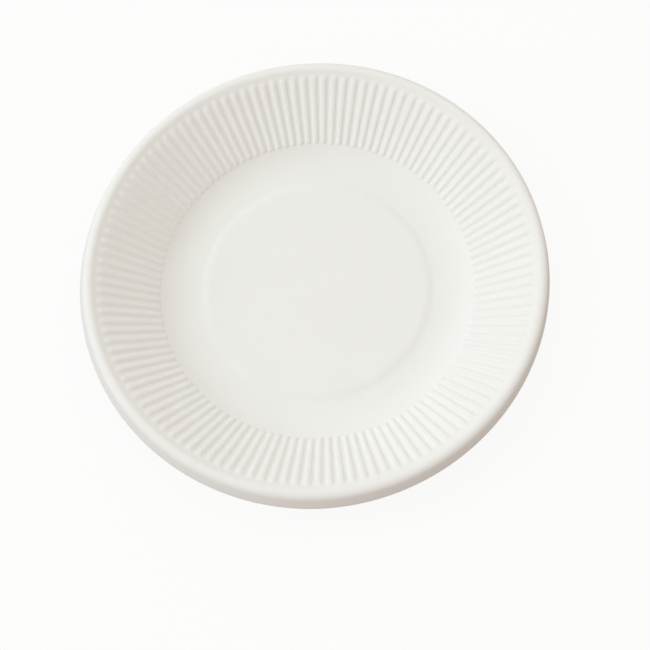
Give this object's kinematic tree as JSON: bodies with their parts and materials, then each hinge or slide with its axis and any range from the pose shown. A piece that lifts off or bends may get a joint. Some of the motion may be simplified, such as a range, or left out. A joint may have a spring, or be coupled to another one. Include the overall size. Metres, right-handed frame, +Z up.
{
  "type": "paper plate",
  "caption": "Round white paper plate with a low raised centre panel, a finely fluted sloping wall and a rolled lip that turns down as a flange.",
  "frame": {"origin": "on the plate's axis, level with the foot ring that it stands on", "axes": "+Z up along the plate's axis, towards the food side; the plate is the same all round"},
  "size_m": [0.2284, 0.2284, 0.0315],
  "materials": {
    "pulp": "matt, slightly fibrous pressed pulp, bleached white"
  },
  "bodies": {
    "root": {"plate": "pulp"}
  },
  "joints": []
}
